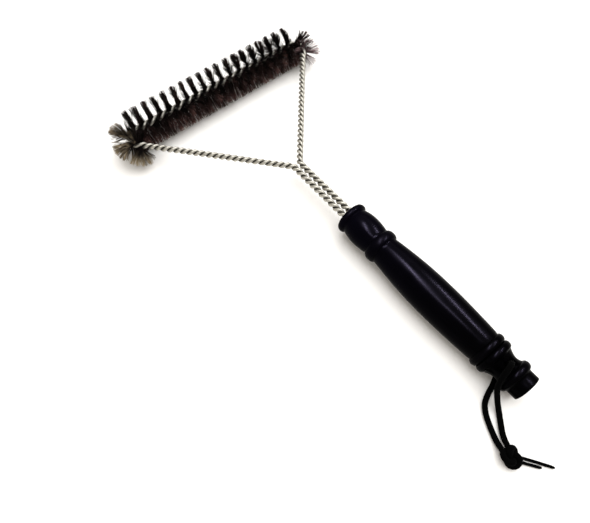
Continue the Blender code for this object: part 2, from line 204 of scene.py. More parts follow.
BORE_OVERRUN = 4 * MM           # how far the cutter stands out in front
HOLE_OVERRUN = 0.5 * MM
HOLE_SIDES = 40
HOLE_RADIUS = 2.9 * MM
COUNTERSINK = 2.8 * MM
CREST_WIDTHS = [                # how far the rubbed part of each bead's crest reaches
    (COLLAR_BEAD, 1.6), (RING_BEAD, 2.6), (REAR_BEAD, 1.8), (SECOND_BEAD, 1.7), (END_BEAD, 2.0)]
PAINTED_SHEEN_END = 150.0                # millimetres from the front face to where the painted violet sheen on the lacquer ends
SHARP_ANGLE = math.radians(38)

# how the brush lies on the floor
REST_Y = 112.0 * MM
REAR_BEAD_Y = REAR_BEAD[0] * MM
REAR_BEAD_RADIUS = REAR_BEAD[3] * MM
TILT = math.atan2(BRISTLE_REACH - REAR_BEAD_RADIUS, REST_Y - FRONT_Y + REAR_BEAD_Y)
ORIGIN_Y = (HEAD_Y + BRISTLE_REACH + FRONT_Y - HANDLE_LENGTH) / 2
FRAME_PLACE = Vector((0, -ORIGIN_Y * math.cos(TILT), BRISTLE_REACH - REST_Y * math.sin(TILT)))
TO_WORLD = Matrix.Translation(FRAME_PLACE) @ Matrix.Rotation(TILT, 4, "X")

# lanyard, in world millimetres
CORD_RADIUS = 2.1               # over the yarns' crests: the braid's mean radius is near the CAD's 2.0
TAIL_RADIUS = 1.1
TAIL_END = 0.7                  # a tail's radius at its tip, as a share of the rest
TAPER_LENGTH = 2.0
THIN_CORD = 1.5                 # under this radius a cord has fewer sides
STRAND_OVER = [
    (0, -181.9, 15.7), (0, -181.9, 20.5), (0, -181.9, 25.4), (-1.7, -182.1, 29.9), (-5.8, -182.5, 32.8),
    (-10.6, -183.3, 32.0), (-14.4, -184.5, 28.4), (-16.6, -186.1, 23.9), (-17.8, -187.8, 19.6),
    (-18.5, -190.1, 15.2), (-19.2, -193.1, 10.6), (-20.3, -196.5, 6.4), (-22.4, -200.9, 3.1),
    (-25.4, -204.8, 2.1), (-28.4, -208.2, 2.1), (-31.4, -211.7, 2.2), (-34.2, -215.3, 3.3),
    (-36.6, -218.9, 5.0), (-38.4, -222.0, 6.2)]
STRAND_UNDER = [
    (0, -181.9, 15.1), (0, -181.9, 12.4), (0, -181.9, 9.6), (-0.7, -182.3, 5.7), (-3.0, -183.2, 3.0),
    (-6.5, -184.6, 2.2), (-11.6, -186.4, 2.1), (-18.0, -188.0, 2.1), (-24.4, -190.5, 2.1),
    (-28.6, -193.9, 2.1), (-31.8, -198.1, 2.1), (-34.4, -202.7, 2.1), (-36.7, -207.3, 2.1),
    (-39.0, -212.1, 2.7), (-41.0, -216.5, 4.6), (-42.0, -220.2, 5.8)]
KNOT_CENTRE = (-40.5, -225.0, 5.9)
KNOT_CORD_RADIUS = 2.2          # the cord bulges where it is tied
KNOT_RADIUS = 4.2
KNOT_RISE = 1.95
KNOT_TURN = math.radians(20)
KNOT_LEAN = math.radians(20)
KNOT_LEAN_AXIS = (0.8, 0.6, 0)
KNOT_STEPS = 420
CORD_GAP = 0.1                  # between the lanyard and the floor
CURVE_STEPS = 24                # between two points of a route
BRAID_SIDES = 48
BRAID_YARNS = 8                 # yarns that run each way round the cord
BRAID_DEPTH = 0.09              # how deep the grooves are, as a share of the cord's radius
GROOVE_SHARE = 0.75             # how much of that is between the yarns; the rest is where they cross
BRAID_LAY = 3.4                 # length of a full turn of a yarn, in cord diameters
BRAID_STEP = 0.22               # between rings
TAIL_LONG = [
    (-37.6, -227.0, 4.8), (-35.6, -229.1, 3.4), (-33.6, -231.3, 1.9), (-31.3, -234.4, 1.3),
    (-28.6, -238.3, 1.2), (-25.1, -243.6, 1.2), (-21.6, -248.9, 1.2)]
TAIL_SHORT = [
    (-39.4, -228.8, 4.4), (-37.6, -230.9, 2.8), (-35.9, -233.1, 1.6), (-34.0, -235.7, 1.2),
    (-31.4, -239.3, 1.2), (-28.5, -243.3, 1.2)]

# colours
WIRE_COLOUR = (0.72, 0.70, 0.64)
WIRE_TINT = (0.42, 0.40, 0.36, 1)
ZINC = ((0.34, 0.33, 0.295), (0.53, 0.515, 0.46))       # dull and bright
# painted shade: the colour of each strand on its side that faces the other strand
WIRE_CREASE_SHADE = (0.035, 0.03, 0.022)
BRISTLE_SOOT = (0.006, 0.0044, 0.0044)
BRISTLE_TINT = (0.3, 0.25, 0.25, 1)
BRISTLE_TIP = (0.26, 0.14, 0.125)
LEFT_TIP = (0.86, 0.70, 0.47)
RIGHT_TIP = (0.62, 0.42, 0.44)
LACQUER_COLOUR = (0.001, 0.0009, 0.0014)
LACQUER_TINT = (0.9, 0.84, 1.0, 1)
LACQUER_GRAIN = ((0.0002, 0.0002, 0.0003), (0.0007, 0.0006, 0.0009))
# painted sheen: a faint violet tint on the front part of the handle
LACQUER_PAINTED_SHEEN = (0.0014, 0.0011, 0.0030)
LACQUER_RUBBED = (0.004, 0.0034, 0.0052)
CORD_COLOUR = (0.002, 0.002, 0.0022)
YARN = ((0.0004, 0.0004, 0.0004), (0.0018, 0.0018, 0.002))      # clean and dusty
FLOOR_COLOUR = (0.93, 0.925, 0.91)


def clamp(number):
    """The nearest number from 0 to 1."""
    return min(max(number, 0), 1)


def ease(share):
    """A share from 0 to 1, slow at both ends."""
    return share * share * (3 - 2 * share)


# the wires' route, as in the CAD

def route_legs():
    """(length, turn) of each leg, from the left tail to the right one."""
    bend_run = SHANK_BEND * math.tan(ARM_ANGLE / 2)
    head_turn = math.pi / 2 + ARM_ANGLE
    head_run = HEAD_BEND / math.tan((math.pi - head_turn) / 2)
    corner_x = HEAD_Y * math.tan(ARM_ANGLE)
    fork_y = SHANK_X / math.tan(ARM_ANGLE)
    arm = math.hypot(corner_x - SHANK_X, HEAD_Y - fork_y) - bend_run - head_run
    tail = fork_y - bend_run - FRONT_Y + TAIL_DEPTH
    half = [(tail, 0), (SHANK_BEND * ARM_ANGLE, ARM_ANGLE), (arm, 0), (HEAD_BEND * head_turn, -head_turn)]
    return half + [(2 * (corner_x - head_run), 0)] + half[::-1]


LEGS = route_legs()
ROUTE_LENGTH = sum(length for length, _ in LEGS)
MIDDLE = ROUTE_LENGTH / 2
HEAD_HALF = LEGS[4][0] / 2


def route_at(s):
    """Position and heading on the route, s metres from its left end."""
    x, y, heading = -SHANK_X, FRONT_Y - TAIL_DEPTH, math.pi / 2
    for length, turn in LEGS:
        part = min(max(s, 0), length)
        if turn:
            radius = length / turn
            after = heading + part / radius
            x += radius * (math.sin(after) - math.sin(heading))
            y -= radius * (math.cos(after) - math.cos(heading))
            heading = after
        else:
            x += part * math.cos(heading)
            y += part * math.sin(heading)
        s -= length
        if s <= 0:
            break
    return Vector((x, y, 0)), heading


def across(s, angle):
    """Unit vector across the route at s, turned by angle from its left side towards +Z."""
    heading = route_at(s)[1]
    side = Vector((-math.sin(heading), math.cos(heading), 0))
    return side * math.cos(angle) + Vector((0, 0, math.sin(angle)))


def twist_at(s):
    """Angle of the ribbon between the wires.  It falls along the route: the twist is left-handed."""
    from_middle = s - MIDDLE
    in_ribbon = min(abs(from_middle), RIBBON_LENGTH / 2)
    beyond = abs(from_middle) - in_ribbon
    turned = math.pi * (in_ribbon / TUFT_PITCH + beyond / ARM_HALF_PITCH)
    slip, start, run = LEFT_SLIP if from_middle < 0 else RIGHT_SLIP
    share = clamp((abs(from_middle) - start) / run)
    return RIBBON_ANGLE - math.copysign(turned, from_middle) + slip * ease(share)


# mesh helpers

def linked(name, data):
    """A new object for the data, in the scene."""
    obj = bpy.data.objects.new(name, data)
    bpy.context.scene.collection.objects.link(obj)
    return obj


def mesh_object(name, points, faces, finish, attributes):
    """A new smooth mesh object; attributes are named lists of one number for each point."""
    mesh = bpy.data.meshes.new(name)
    mesh.from_pydata([tuple(p) for p in points], [], faces)
    mesh.update()
    for label, values in attributes.items():
        layer = mesh.attributes.new(label, "FLOAT", "POINT")
        layer.data.foreach_set("value", np.asarray(values, np.float32))
    mesh.shade_smooth()
    mesh.materials.append(finish)
    return linked(name, mesh)


def curve_point(a, b, c, d, t):
    """The point between b and c, at share t, of a Catmull-Rom curve."""
    return 0.5 * (b * 2 + (c - a) * t + (a * 2 - b * 5 + c * 4 - d) * t ** 2
                  + (b * 3 - a - c * 3 + d) * t ** 3)


def tube_faces(rings, sides, start=0, looped=False):
    """Faces of a tube whose points run ring by ring: both ends are capped, or joined if it is looped."""
    faces = []
    for ring in range(rings if looped else rings - 1):
        low = start + ring * sides
        high = start + (ring + 1) % rings * sides
        for i in range(sides):
            j = (i + 1) % sides
            faces.append((low + i, low + j, high + j, high + i))
    if looped:
        return faces
    last = start + (rings - 1) * sides
    faces.append(tuple(range(start + sides - 1, start - 1, -1)))
    faces.append(tuple(range(last, last + sides)))
    return faces


def sweep(line, radius, sides, axis=None):
    """Rings of points round a line, as an array of rings by sides by 3.  With an axis, the line is a loop
    round it."""
    if axis is None:
        tangent = np.gradient(line, axis=0)
        reference = np.cross(tangent[0], SKEW)
    else:
        tangent = np.roll(line, -1, axis=0) - np.roll(line, 1, axis=0)
        reference = np.array(axis)
    tangent /= np.linalg.norm(tangent, axis=1, keepdims=True)
    first = np.cross(tangent, np.cross(reference, tangent))
    first /= np.linalg.norm(first, axis=1, keepdims=True)
    second = np.cross(tangent, first)
    turns = (np.arange(sides) * math.tau / sides)[None, :, None]
    circle = first[:, None] * np.cos(turns) + second[:, None] * np.sin(turns)
    return line[:, None] + circle * radius


def declare(piece, body, slot, *nodes):
    """Puts a piece on its body and hides the CAD nodes that it stands for.  The slot is not used."""
    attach(piece, body)
    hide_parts(*nodes)


# materials

def scaled(colour, factor):
    return tuple(factor * channel for channel in colour)


class Finish:
    """A material with a Principled shader and short ways to add nodes to it."""

    def __init__(self, name, colour, roughness, metallic=0.0, specular=0.5):
        self.material = bpy.data.materials.new(name)
        self.material.use_nodes = True
        self.nodes = self.material.node_tree.nodes
        self.links = self.material.node_tree.links
        self.shader = self.nodes["Principled BSDF"]
        self.set("Base Color", (*colour, 1))
        self.set("Roughness", roughness)
        self.set("Metallic", metallic)
        self.set("Specular IOR Level", specular)

    def set(self, socket, value):
        self.shader.inputs[socket].default_value = value

    def add(self, kind, **values):
        node = self.nodes.new(kind)
        for key, value in values.items():
            setattr(node, key, value)
        return node

    def link(self, source, target):
        self.links.new(source, target)

    def place(self, scale=(1, 1, 1)):
        """Object coordinates, stretched."""
        coordinates = self.add("ShaderNodeTexCoord")
        mapping = self.add("ShaderNodeMapping")
        mapping.inputs["Scale"].default_value = scale
        self.link(coordinates.outputs["Object"], mapping.inputs["Vector"])
        return mapping.outputs["Vector"]

    def noise(self, vector, scale, detail=4.0, roughness=0.55):
        node = self.add("ShaderNodeTexNoise")
        node.inputs["Scale"].default_value = scale
        node.inputs["Detail"].default_value = detail
        node.inputs["Roughness"].default_value = roughness
        self.link(vector, node.inputs["Vector"])
        return node.outputs["Fac"]

    def value(self, name):
        node = self.add("ShaderNodeAttribute", attribute_name=name)
        return node.outputs["Fac"]

    def remap(self, source, from_low, from_high, to_low, to_high):
        node = self.add("ShaderNodeMapRange")
        limits = {"From Min": from_low, "From Max": from_high, "To Min": to_low, "To Max": to_high}
        for key, number in limits.items():
            node.inputs[key].default_value = number
        self.link(source, node.inputs["Value"])
        return node.outputs["Result"]

    def math(self, operation, a, b):
        node = self.add("ShaderNodeMath", operation=operation)
        for socket, source in zip(node.inputs, (a, b)):
            if isinstance(source, (int, float)):
                socket.default_value = source
            else:
                self.link(source, socket)
        return node.outputs["Value"]

    def mix(self, factor, first, second):
        """A colour between two colours or colour sockets, as far as the factor's socket says."""
        node = self.add("ShaderNodeMix", data_type="RGBA")
        self.link(factor, node.inputs["Factor"])
        for socket, source in ((node.inputs[6], first), (node.inputs[7], second)):
            if isinstance(source, tuple):
                socket.default_value = (*source, 1)
            else:
                self.link(source, socket)
        return node.outputs[2]

    def bump(self, height, strength, distance, under=None):
        node = self.add("ShaderNodeBump")
        node.inputs["Strength"].default_value = strength
        node.inputs["Distance"].default_value = distance
        self.link(height, node.inputs["Height"])
        if under is not None:
            self.link(under, node.inputs["Normal"])
        return node.outputs["Normal"]

    def drive(self, socket, source):
        self.link(source, self.shader.inputs[socket])


def wire_finish():
    """Bright galvanised wire: a mottled zinc skin, fine drawing marks, and painted shade where the strands
    touch, mottled a little and rougher there.
    """
    made = Finish("galvanised_wire", WIRE_COLOUR, 0.3, metallic=1.0)
    mottle = made.noise(made.place(), 900, detail=3)
    made.set("Specular Tint", WIRE_TINT)
    zinc = made.mix(made.remap(mottle, 0.35, 0.65, 0, 1), *ZINC)
    drawn = made.add("ShaderNodeCombineXYZ")
    made.link(made.math("MULTIPLY", made.value("along"), 60.0), drawn.inputs["X"])
    made.link(made.math("MULTIPLY", made.value("round"), 14.0), drawn.inputs["Y"])
    marks = made.noise(drawn.outputs["Vector"], 1.0, detail=5, roughness=0.7)
    # painted shade between the strands, broken up a little by the zinc's mottle; the same mask also makes
    # them rougher there
    crease_shade = made.math("MULTIPLY", made.value("inside"), made.remap(mottle, 0.2, 0.8, 0.8, 1.0))
    made.drive("Base Color", made.mix(crease_shade, zinc, WIRE_CREASE_SHADE))
    drawn_skin = made.remap(marks, 0.3, 0.7, 0.34, 0.5)
    made.drive("Roughness", made.math("ADD", drawn_skin, made.math("MULTIPLY", crease_shade, 0.3)))
    made.drive("Normal", made.bump(marks, 0.35, 0.00004))
    return made.material


def bristle_finish():
    """Fine sooty steel wire, paler where the tips are cut and scrubbed, most of all round the left end."""
    made = Finish("sooty_bristles", BRISTLE_SOOT, 0.5, metallic=0.6, specular=0.15)
    made.set("Specular Tint", BRISTLE_TINT)
    tone = made.value("tone")
    soot = made.noise(made.place(), 260, detail=3)
    left_scrubbed = made.math("MULTIPLY", made.value("left"), 0.6)
    scrubbed = made.math("MAXIMUM", made.remap(tone, 0.35, 1, 0.12, 1.0), left_scrubbed)
    tip = made.math("MULTIPLY", made.value("tip"), scrubbed)
    body = made.mix(made.value("shade"), scaled(BRISTLE_SOOT, 0.4), scaled(BRISTLE_SOOT, 4.5))
    worn = made.mix(made.remap(soot, 0.35, 0.65, 0, 1), body, scaled(BRISTLE_SOOT, 0.6))
    pale = made.mix(made.value("right"), BRISTLE_TIP, RIGHT_TIP)
    pale = made.mix(made.value("left"), pale, LEFT_TIP)
    made.drive("Base Color", made.mix(tip, worn, pale))
    made.drive("Roughness", made.remap(made.math("ADD", soot, tip), 0.3, 1.5, 0.6, 0.4))
    made.drive("Normal", made.bump(made.noise(made.place(), 4000, detail=2), 0.25, 0.00003))
    return made.material


def lacquer_finish():
    """Black lacquer over turned wood: the grain shows faintly through it, the crests are rubbed, and a faint
    violet sheen is painted into the colour of its front part, fading towards the rear."""
    made = Finish("black_lacquer", LACQUER_COLOUR, 0.22, specular=0.008)
    made.set("Specular Tint", LACQUER_TINT)
    grain = made.noise(made.place((1, 0.045, 1)), 900, detail=5, roughness=0.65)
    pores = made.noise(made.place((1, 0.02, 1)), 2600, detail=2)
    haze = made.noise(made.place(), 60, detail=4)
    rubbed = made.math("MULTIPLY", made.value("crest"), made.remap(haze, 0.45, 0.7, 0, 1))
    black = made.mix(made.remap(grain, 0.35, 0.7, 0, 1), *LACQUER_GRAIN)
    # painted violet sheen, strongest at the front face and fading rearwards, broken up by the haze
    painted_sheen = made.math("MULTIPLY", made.value("front"), made.remap(haze, 0.3, 0.7, 0.6, 1.0))
    with_painted_sheen = made.mix(painted_sheen, black, LACQUER_PAINTED_SHEEN)
    made.drive("Base Color", made.mix(made.math("MULTIPLY", rubbed, 0.3), with_painted_sheen, LACQUER_RUBBED))
    satin = made.math("ADD", made.remap(haze, 0.3, 0.7, 0.17, 0.26), made.math("MULTIPLY", rubbed, 0.12))
    made.drive("Roughness", satin)
    ridges = made.bump(grain, 0.16, 0.0001)
    made.drive("Normal", made.bump(pores, 0.1, 0.00005, under=ridges))
    return made.material


def cord_finish():
    """Matt black braided yarn, a little dusty on top of each yarn."""
    made = Finish("black_braid", CORD_COLOUR, 0.85, specular=0.01)
    lift = made.value("lift")
    fibre = made.noise(made.place(), 3500, detail=4, roughness=0.7)
    dust = made.math("MULTIPLY", lift, made.remap(fibre, 0.35, 0.7, 0.2, 1.0))
    made.drive("Base Color", made.mix(dust, *YARN))
    made.drive("Roughness", made.remap(fibre, 0.3, 0.7, 0.7, 0.95))
    made.set("Sheen Weight", 0.004)
    made.set("Sheen Roughness", 0.5)
    made.drive("Normal", made.bump(fibre, 0.5, 0.00008))
    return made.material


def floor_finish():
    return Finish("pale_floor", FLOOR_COLOUR, 0.75, specular=0.2).material


# twisted wires

def wire_stations():
    """Places along the route at equal steps of twist, from the middle out."""
    head_steps = TUFTS * TWIST_STEPS
    head_start = MIDDLE - RIBBON_LENGTH / 2
    count = math.ceil(head_start / (ARM_HALF_PITCH / TWIST_STEPS))
    left = [head_start * i / count for i in range(count)]
    head = [head_start + RIBBON_LENGTH * i / head_steps for i in range(head_steps + 1)]
    return left + head + [ROUTE_LENGTH - s for s in reversed(left)]


def wire_offset(s):
    """How far each wire's axis is from the pair's."""
    beyond = abs(s - MIDDLE) - RIBBON_LENGTH / 2
    return SPREAD_RADIUS + (TWIST_RADIUS - SPREAD_RADIUS) * ease(clamp(beyond / SPREAD_RUN))


def twisted_wire(name, side, finish):
    """One wire of the pair.  Its rings are turned with the twist, so that angle 0 faces the other wire."""
    stations = wire_stations()
    axis = [route_at(s)[0] for s in stations]
    inward = [across(s, twist_at(s) + side * math.pi / 2) * -1 for s in stations]
    centres = [a - i * wire_offset(s) for a, i, s in zip(axis, inward, stations)]
    points, along, around, inside = [], [], [], []
    for k, centre in enumerate(centres):
        forward = (centres[min(k + 1, len(centres) - 1)] - centres[max(k - 1, 0)]).normalized()
        towards = (inward[k] - forward * inward[k].dot(forward)).normalized()
        sideways = forward.cross(towards)
        for corner in range(WIRE_SIDES):
            angle = math.tau * corner / WIRE_SIDES
            place = centre + (towards * math.cos(angle) + sideways * math.sin(angle)) * WIRE_RADIUS
            points.append(TO_WORLD @ place)
            along.append(stations[k])
            around.append(abs(corner / WIRE_SIDES - 0.5))
            # painted shade mask: 1 on the side that faces the other wire, fading round to 0
            inside.append(clamp((math.cos(angle) + CREASE_SHADE_EDGE) / CREASE_SHADE_FADE))
    faces = tube_faces(len(stations), WIRE_SIDES)
    made = {"along": along, "round": around, "inside": inside}
    return mesh_object(name, points, faces, finish, made)


# bristles

def route_samples():
    """Close points along the route, with their distance along it."""
    places = np.arange(0, ROUTE_LENGTH, ROUTE_STEP)
    return places, np.array([route_at(s)[0] for s in places])


ROUTE_S, ROUTE_P = route_samples()


def push_off(points, s, lift):
    """Moves points of a bristle rooted at s clear of the arms.  One in the arms' plane goes up where lift
    is 1, and down where it is -1."""
    other = np.abs(ROUTE_S - s) > OWN_STRETCH
    route = ROUTE_P[other]
    for k, point in enumerate(points):
        gap = point - route
        distance = np.sqrt((gap ** 2).sum(1))
        nearest = distance.argmin()
        if distance[nearest] < WIRE_GAP:
            away = gap[nearest].copy()
            if abs(away[2]) < IN_PLANE:
                away[2] = lift * LIFT
            points[k] = route[nearest] + away / np.linalg.norm(away) * WIRE_GAP
    return points


def from_left(s):
    """0 at the ribbon's left end, 1 at its right end."""
    return (s - MIDDLE) / RIBBON_LENGTH + 0.5


def end_share(s):
    """0 along the head's straight part, rising to 1 round each end: negative on the left."""
    beyond = max(0.0, abs(s - MIDDLE) - HEAD_HALF) / (RIBBON_LENGTH / 2 - HEAD_HALF)
    return math.copysign(min(1.0, beyond * END_RISE), s - MIDDLE)


def right_end_share(s):
    """0 to 1 over the last few millimetres of the ribbon on the right."""
    return clamp((s - MIDDLE - RIGHT_WORN_START) / RIGHT_WORN_RUN)


def reach_at(s, outward, up, chance):
    """Length of a bristle at s.  It is worn shorter towards the right, most of all round that end."""
    right = from_left(s)
    reach = BRISTLE_REACH * (1 - UPPER_SHORT * right * max(0.0, up) - CHANCE_SHORT * chance ** 3)
    low = max(0.0, -outward * math.cos(UPPER_SIDE) - up * math.sin(UPPER_SIDE))
    reach *= 1 + low * (LOW_REACH + LOW_REACH_RIGHT * right)
    end = end_share(s)
    if end > 0:
        reach *= 1 - RIGHT_END_SHORT * end * max(0.0, up) ** 2
        reach *= 1 - RIGHT_WORN_SHORT * right_end_share(s) * math.sqrt(chance)
    if outward < 0 and abs(end) > INNER_START:
        reach *= max(1 + outward * INNER_SHORT, INNER_LEAST)
    return reach


def tip_share(s, angle):
    """How bright a tip is scrubbed: most on the head's lower side, and all round its ends except on top."""
    low = max(0.0, -math.cos(angle - SCRUBBED_SIDE)) ** SCRUBBED_FADE
    shift, run = INNER_CLEAN
    round_end = clamp((math.cos(angle) + shift) / run) * (1 - UPPER_SOOT * max(0.0, math.sin(angle)) ** 2)
    end = abs(end_share(s))
    return max(UPPER_TIP, low) * (1 - end) + round_end * end


def bristle_half(s, angle, lean, bow, reach, layer, lift):
    """Points of half a bristle, from just outside the wires to its tip."""
    place, heading = route_at(s)
    out = across(s, angle)
    along = Vector((math.cos(heading), math.sin(heading), 0))
    way = (out + along * lean).normalized()
    if abs(way.x) > SIDEWAYS:
        edge = CAD_BOX[1 if way.x > 0 else 0][0]
        reach = min(reach, (edge - place.x) / way.x - EDGE_GAP)
    flat = across(s, angle + math.pi / 2)
    points = []
    for share in BRISTLE_PLACES:
        far = reach * share
        points.append(place + way * far + flat * (layer + bow * share * share))
    return push_off(np.array(points), s, lift)


def bristle_lean(rng, s, angle, tuft_lean, clump):
    """How far a bristle leans along the head: more on the lower side, and in clumps round the ends."""
    low = max(0.0, -math.cos(angle - UPPER_SIDE))
    end = end_share(s)
    usual = LEFT_LEAN + (RIGHT_LEAN - LEFT_LEAN) * from_left(s)
    usual += LEFT_END_LEAN * max(0.0, -end)
    spread = STRAY_LEAN if rng.random() < STRAY_SHARE else usual + LOW_LEAN * low
    lean = max(-MOST_LEAN * spread, min(MOST_LEAN * spread, rng.gauss(0, spread)))
    most, where, width = RIGHT_SPLAY
    splay = most * math.exp(-((s - MIDDLE - where) / width) ** 2)
    clump_lean = LEFT_CLUMP_LEAN if end < 0 else RIGHT_CLUMP_LEAN
    return lean + tuft_lean + clump * clump_lean * abs(end) + splay


def bristle_lines(number):
    """Each bristle of a tuft as a line of points from tip to tip, with where it stands, its tone and how
    bright its two tips are."""
    rng = random.Random(SEED + number)
    start = MIDDLE - RIBBON_LENGTH / 2 + number * TUFT_PITCH
    at_end = number < END_TUFTS or number >= TUFTS - END_TUFTS
    count = BRISTLES_IN_END_TUFT if at_end else BRISTLES_IN_TUFT
    tuft_lean = rng.gauss(0, TUFT_LEAN)
    lines = []
    for i in range(count):
        if i % CLUMP_SIZE == 0:
            clumps = [(rng.gauss(0, 1), rng.gauss(0, CLUMP_TURN), rng.random()) for _ in range(2)]
        if i % STREAK_SIZE == 0:
            streak_tone, streak_lean = rng.random() ** 2, rng.gauss(0, STREAK_LEAN)
        s = start + TUFT_PITCH * (i + rng.random()) / count
        end = end_share(s)
        layer = rng.uniform(-LAYERS, LAYERS)
        tone = STREAK_SHARE * streak_tone + (1 - STREAK_SHARE) * rng.random()
        halves, tips = [], []
        for turn, (clump_lean, clump_turn, clump_soot) in zip((0, math.pi), clumps):
            angle = twist_at(s) + turn + rng.gauss(0, ANGLE_SPREAD) + clump_turn * abs(end)
            lean = bristle_lean(rng, s, angle, tuft_lean + streak_lean, clump_lean)
            bow = rng.gauss(0, BOW)
            outward, up = math.cos(angle), math.sin(angle)
            reach = reach_at(s, outward, up, rng.random())
            halves.append(bristle_half(s, angle, lean, bow, reach, layer, 1 if up > 0 else -1))
            tips.append(tip_share(s, angle) * (1 - CLUMP_SOOT * clump_soot * max(0.0, -end)))
        if rng.random() > RIGHT_WORN_AWAY * right_end_share(s):
            lines.append((np.concatenate([halves[0][::-1], halves[1]]), s, tone, tips))
    return lines


def bristle_tuft(number, finish):
    """The bristles of one tuft, as one piece."""
    points, faces = [], []
    made = {"tip": [], "tone": [], "shade": [], "left": [], "right": []}
    shares = np.array(BRISTLE_PLACES[::-1] + BRISTLE_PLACES)
    reach_share = np.repeat(shares, BRISTLE_SIDES)
    to_world = np.array(TO_WORLD)
    low, high = (np.array(corner) for corner in CAD_BOX)
    for line, s, tone, tips in bristle_lines(number):
        line = np.clip(line @ to_world[:3, :3].T + to_world[:3, 3], low + BOX_GAP, high - BOX_GAP)
        left, right = max(0.0, -end_share(s)), right_end_share(s)
        scrub_start = SCRUB_START - SCRUB_START_LEFT * (1 - from_left(s)) * tone
        tip = np.clip((reach_share - scrub_start) / (1 - scrub_start), 0, 1)
        shade = tone * (SHADE_LEFT + (SHADE_RIGHT - SHADE_LEFT) * from_left(s))
        rings = sweep(line, BRISTLE_RADIUS * (1 - RIGHT_WORN_THIN * right), BRISTLE_SIDES)
        faces += tube_faces(len(line), BRISTLE_SIDES, len(points))
        points += list(rings.reshape(-1, 3))
        made["tip"] += list(np.maximum(tip * np.repeat(tips, len(tip) // 2), right * reach_share))
        for label, share in (("tone", tone), ("shade", shade), ("left", left), ("right", right)):
            made[label] += [share] * len(tip)
    return mesh_object(f"bristles_{number + 1:02d}", points, faces, finish, made)


# handle

def bead(centre, half_width, base, crest, steps=20):
    """Outline points over a round bead."""
    points = []
    for i in range(steps + 1):
        angle = math.pi * i / steps
        points.append((centre - half_width * math.cos(angle), base + (crest - base) * math.sin(angle)))
    return points


def swell(start, end, peak, steps, fullness):
    """Outline points over a long swelling."""
    points = []
    for i in range(steps + 1):
        y = start[0] + (end[0] - start[0]) * i / steps
        low = start if y < peak[0] else end
        share = max(0, (y - low[0]) / (peak[0] - low[0]))
        points.append((y, low[1] + (peak[1] - low[1]) * math.sin(share * math.pi / 2) ** fullness))
    return points


def rounded(points, steps):
    """A smooth curve through a few outline points."""
    ends = [tuple(2 * a - b for a, b in zip(points[0], points[1]))] + points
    ends.append(tuple(2 * a - b for a, b in zip(points[-1], points[-2])))
    made = []
    for a, b, c, d in zip(ends, ends[1:], ends[2:], ends[3:]):
        for i in range(steps):
            made.append(tuple(curve_point(*four, i / steps) for four in zip(a, b, c, d)))
    return made + [points[-1]]


def handle_profile():
    outline = list(FRONT_EDGE)
    outline += bead(*COLLAR_BEAD, steps=16)[2:]
    outline += [COLLAR_GROOVE]
    outline += swell(*BARREL, steps=36, fullness=0.8)
    outline += bead(*RING_BEAD)
    outline += swell(*GRIP, steps=90, fullness=0.9)
    outline += bead(*REAR_BEAD)
    outline += bead(*SECOND_BEAD)[1:]
    outline += rounded(NECK, steps=5)
    outline += bead(*END_BEAD)
    outline += rounded(END_STUB, steps=4)
    outline += [(END_STUB[-1][0], 0)]
    return outline


def lathe(name, outline, sides):
    """A turned solid about the Y axis.  Its outline is (y, radius) in metres, from axis to axis."""
    points = [(0, outline[0][0], 0)]
    for y, radius in outline[1:-1]:
        for i in range(sides):
            angle = math.tau * i / sides
            points.append((radius * math.cos(angle), y, radius * math.sin(angle)))
    points.append((0, outline[-1][0], 0))
    rings = len(outline) - 2
    faces = []
    for i in range(sides):
        j = (i + 1) % sides
        faces.append((0, 1 + j, 1 + i))
        for ring in range(rings - 1):
            low = 1 + ring * sides
            faces.append((low + i, low + j, low + sides + j, low + sides + i))
        last = 1 + (rings - 1) * sides
        faces.append((last + i, last + j, len(points) - 1))
    mesh = bpy.data.meshes.new(name)
    mesh.from_pydata(points, [], faces)
    bm = bmesh.new()
    bm.from_mesh(mesh)
    bmesh.ops.recalc_face_normals(bm, faces=bm.faces)
    bm.to_mesh(mesh)
    bm.free()
    return linked(name, mesh)


def bore_cutter():
    """A slot with round ends, for the two twisted pairs side by side."""
    bpy.ops.mesh.primitive_cube_add(size=2.0)
    obj = bpy.context.object
    start = FRONT_Y + BORE_OVERRUN
    length = BORE_DEPTH + BORE_OVERRUN
    obj.scale = (SHANK_X + BORE_HALF_HEIGHT, length / 2, BORE_HALF_HEIGHT)
    obj.location = (0, start - length / 2, 0)
    bpy.ops.object.transform_apply(location=True, rotation=True, scale=True)
    bm = bmesh.new()
    bm.from_mesh(obj.data)
    long_edges = [e for e in bm.edges if abs(e.verts[0].co.y - e.verts[1].co.y) > length / 2]
    bmesh.ops.bevel(bm, geom=long_edges, offset=BORE_HALF_HEIGHT * BORE_ROUNDING, segments=BORE_STEPS,
                    profile=0.5, affect="EDGES")
    bm.to_mesh(obj.data)
    bm.free()
    return obj


def hole_cutter():
    """The lanyard hole, countersunk at each end as in the CAD."""
    half = NECK_RADIUS + HOLE_OVERRUN
    mouth = [(half, HOLE_RADIUS + COUNTERSINK), (half - COUNTERSINK, HOLE_RADIUS)]
    outline = [(half, 0)] + mouth + [(-y, radius) for y, radius in reversed(mouth)] + [(-half, 0)]
    obj = lathe("cut_hole", outline, HOLE_SIDES)
    obj.rotation_euler = (math.pi / 2, 0, 0)
    obj.location = (0, FRONT_Y - NECK_Y, 0)
    return obj


